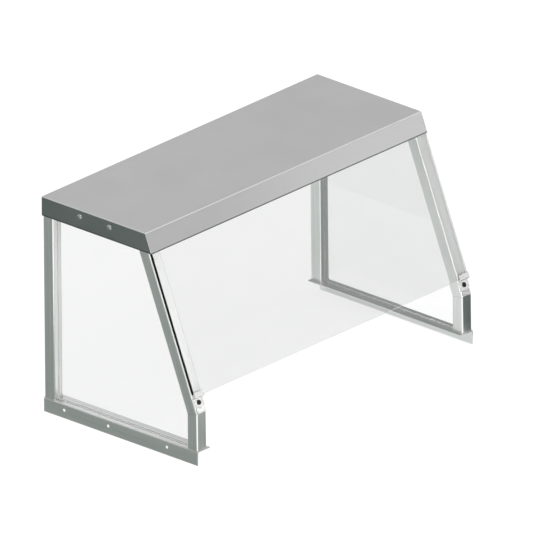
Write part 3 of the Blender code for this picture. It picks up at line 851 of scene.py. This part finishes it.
def stage_card(name, corners, mat):
    """Flat polygon through its corners, part of the stage and not of the object."""
    bm = bmesh.new()
    bm.faces.new([bm.verts.new(corner) for corner in corners])
    obj = to_object(name, bm, (mat,))
    return obj


def on_floor(height, *points):
    """Corners of a level card, from its (x, y) points."""
    return [(x, y, height) for x, y in points]


def patch(height, x_low, y_low, x_high, y_high):
    """Corners of a level rectangle."""
    return on_floor(height, (x_low, y_low), (x_high, y_low), (x_high, y_high), (x_low, y_high))


def link_to(obj, prefixes):
    """The light or glowing card reaches only the pieces whose names start so."""
    group = bpy.data.collections.new(obj.name + "_receivers")
    for target in bpy.context.scene.objects:
        if target.type == "MESH" and target.name.startswith(prefixes):
            group.objects.link(target)
    obj.light_linking.receiver_collection = group


def flag(name, corners, level, only=(), cast=0.035):
    """Grey card, a little green, that only reflections in the object see."""
    mat = stage_material(name, (0.100, 0.124, 0.114), 1.0)
    tree = mat.node_tree
    shader = tree.nodes["Principled BSDF"]
    glow = (level * (1.0 - cast), level * (1.0 + cast), level * (1.0 - cast / 2), 1.0)
    shader.inputs["Emission Color"].default_value = glow
    mat.cycles.emission_sampling = "NONE"
    reflected = tree.nodes.new("ShaderNodeLightPath").outputs["Glossy Depth"]
    clear = tree.nodes.new("ShaderNodeBsdfTransparent").outputs["BSDF"]
    mixed_shader(tree, math_node(tree, "GREATER_THAN", reflected, 0.5), clear, shader.outputs["BSDF"],
                 "Material Output")
    obj = stage_card(name, corners, mat)
    obj.visible_camera = False
    obj.visible_diffuse = False
    obj.visible_shadow = False
    if only:
        link_to(obj, only)


def soft_light(name, where, aim, size, radiance, only=()):
    """Area light of a set brightness; with only, it lights nothing but those pieces."""
    data = bpy.data.lights.new(name, "AREA")
    data.shape = "RECTANGLE"
    data.size, data.size_y = size
    data.energy = math.pi * size[0] * size[1] * radiance
    obj = bpy.data.objects.new(name, data)
    bpy.context.scene.collection.objects.link(obj)
    obj.location = where
    obj.rotation_mode = "QUATERNION"
    obj.rotation_quaternion = (Vector(aim) - Vector(where)).to_track_quat("-Z", "Y")
    obj.visible_camera = False
    if only:
        data.cycles.use_multiple_importance_sampling = False
        obj.visible_transmission = False
        link_to(obj, only)


def floor_and_cards():
    """The floor, and the cards on and round it that shape the steel's reflections."""
    floor_paper = stage_material("floor_paper", (0.14, 0.14, 0.14), 0.93)
    stage_card("floor", patch(0.0, -20.0, -20.0, 20.0, 20.0), floor_paper)
    near, over = 0.0006, 0.0018
    left = on_floor(near, (-0.5632, -0.32), (-0.5632, 4.0), (-4.0, 4.0), (-4.0, 1.4), (-0.68, -0.32))
    flag("flag_left", left, 0.215,
         ("rear_post", "sloped_arm", "front_post", "base_angle", "canopy_bolt", "glass_clip"))
    flag("flag_left_front", patch(near, -0.54, -0.75, -0.10, -0.33), 0.25)
    flag("flag_left_clip", patch(over, -0.43, -0.38, -0.27, -0.24), 0.0)
    flag("flag_right_front", patch(over, 0.60, -1.5, 0.95, -0.28), 0.005, cast=0.08)
    flag("flag_right_back", patch(near, 0.60, -1.5, 2.4, 0.25), 0.20)
    flag("flag_rear", patch(near, 0.05, 0.33, 0.45, 1.4), 0.70, cast=0.012)
    flag("flag_rear_left", patch(near, -0.55, 0.33, 0.05, 1.4), 0.84, cast=0.012)
    flag("flag_left_inside", patch(near, -0.36, -0.30, 0.0, 0.04), 0.79, cast=0.0)
    inside = on_floor(near, (0.24, -0.15), (0.35, -0.27), (0.49, -0.27), (0.49, -0.04), (0.30, 0.06),
                      (0.24, 0.0))
    flag("flag_inside", inside, 0.76, cast=0.012)
    middle = on_floor(near, (-0.05, 0.08), (0.14, 0.0), (0.24, 0.02), (0.24, 0.33), (-0.05, 0.33))
    flag("flag_middle", middle, 0.64, cast=0.012)
    flag("flag_under", patch(near, 0.50, -0.29, 0.556, 0.28), 0.76, cast=0.012)
    flag("flag_right", [(1.35, -0.3, 0.20), (1.35, 1.5, 0.20), (1.35, 1.5, 0.80), (1.35, -0.3, 0.80)], 0.06)
    flag("flag_high", [(-2.0, 0.6, 1.5), (-0.7, 1.7, 1.5), (-0.7, 1.7, 2.6), (-2.0, 0.6, 2.6)], 0.30)


def lamps():
    """Two soft lights for everything, and strips that each reach only the pieces named."""
    soft_light("key", (-1.6, -2.2, 3.0), (0.0, 0.0, 0.3), (2.0, 2.0), 2.0)
    soft_light("overhead", (-0.5, -0.5, 3.4), (0.0, 0.0, 0.3), (2.4, 2.4), 1.5)
    levels = {"left": (1.19, 0.69, 0.5), "right": (0.26, 0.52, 2.6)}
    for side, sign in SIDES:
        on_arm, on_clip, on_corner = levels[side]
        node = "sloped_arm_" + side
        arm = Vector((sign * FRAME_X, -0.20, 0.40))
        clip = Vector((sign * FRAME_X, -0.28, 0.19))
        soft_light("strip_arm_" + side, arm + STRIP_AT, arm, (0.5, 0.6), on_arm, (node,))
        soft_light("strip_clip_" + side, clip + STRIP_AT, clip, (0.5, 0.6), on_clip,
                   ("glass_clip_" + side, "clip_screw_" + side))
        soft_light("strip_corner_" + side, arm + CORNER_AT, arm, (0.4, 0.8), on_corner, (node,))
    sill = Vector((-FRAME_X, 0.0, BASE_HIGH.z))
    behind = sill + Vector((1.6, 1.5, 0.96))
    soft_light("strip_base", behind, sill, (1.0, 1.0), 0.37, ("base_angle_left",))
    soft_light("strip_channel", (-1.3, -1.6, 0.6), sill, (1.0, 1.0), 9.0, ("glazing_channel_left",))
    soft_light("strip_sill", (-1.5, -0.4, 1.0), sill, (1.0, 1.0), 1.8, ("sill_strip_left",))
    flange = Vector((CANOPY_HIGH.x, -0.13, CANOPY_LOW.z))
    soft_light("strip_canopy", flange + STRIP_AT, flange, (0.9, 0.4), 0.20, ("canopy_sheet",))


def surroundings():
    """Wrap of grey light with a brighter band high up; the camera sees plain white instead."""
    world = bpy.data.worlds.new("studio_wrap")
    bpy.context.scene.world = world
    world.use_nodes = True
    tree = world.node_tree
    background = tree.nodes["Background"]
    coords = tree.nodes.new("ShaderNodeTexCoord").outputs["Generated"]
    split = tree.nodes.new("ShaderNodeSeparateXYZ")
    tree.links.new(coords, split.inputs["Vector"])
    ramp = tree.nodes.new("ShaderNodeValToRGB")
    stops = ((0.0, 0.70), (0.14, 0.57), (0.36, 0.53), (0.52, 0.62), (0.66, 1.15), (0.78, 1.10),
             (0.88, 0.70), (1.0, 0.60))
    while len(ramp.color_ramp.elements) < len(stops):
        ramp.color_ramp.elements.new(0.5)
    for element, (height, level) in zip(ramp.color_ramp.elements, stops):
        element.position = height
        element.color = (level / 2, level / 2, level / 2, 1.0)
    tree.links.new(split.outputs["Z"], ramp.inputs["Fac"])
    tree.links.new(ramp.outputs["Color"], background.inputs["Color"])
    background.inputs["Strength"].default_value = 2.0

    plain = tree.nodes.new("ShaderNodeBackground")
    plain.inputs["Color"].default_value = (1.0, 1.0, 1.0, 1.0)
    plain.inputs["Strength"].default_value = 1.05
    path = tree.nodes.new("ShaderNodeLightPath")
    seen = math_node(tree, "MAXIMUM", path.outputs["Is Camera Ray"], path.outputs["Is Transmission Ray"])
    mixed_shader(tree, seen, background.outputs["Background"], plain.outputs["Background"], "World Output")
    bpy.context.scene.view_settings.view_transform = "Standard"


def camera():
    """Parallel view, from the front left and above."""
    data = bpy.data.cameras.new("camera")
    data.type = "ORTHO"
    data.ortho_scale = VIEW_WIDTH
    data.clip_end = 100.0
    obj = bpy.data.objects.new("camera", data)
    bpy.context.scene.collection.objects.link(obj)
    back = Vector((math.sin(AZIMUTH) * math.cos(ELEVATION), -math.cos(AZIMUTH) * math.cos(ELEVATION),
                   math.sin(ELEVATION)))
    obj.location = LOOK_AT + back * 6.0
    obj.rotation_mode = "QUATERNION"
    obj.rotation_quaternion = (-back).to_track_quat("-Z", "Y") @ Quaternion((0.0, 0.0, 1.0), ROLL)
    bpy.context.scene.camera = obj


canopy()
front_glass()
for side, sign in SIDES:
    end_frame(side, sign)
    base_angle(side, sign)
    end_pane(side, sign)
    glazing_channel(side, sign)
    sill_strip(side)
    canopy_bolts(side, sign)
    glass_clip(side, sign)
    glass_cushion(side, sign)
for name, node in frame["nodes"].items():
    if "_nut_" in name:
        node.material_slots[0].material = nut_zinc
floor_and_cards()
lamps()
surroundings()
camera()
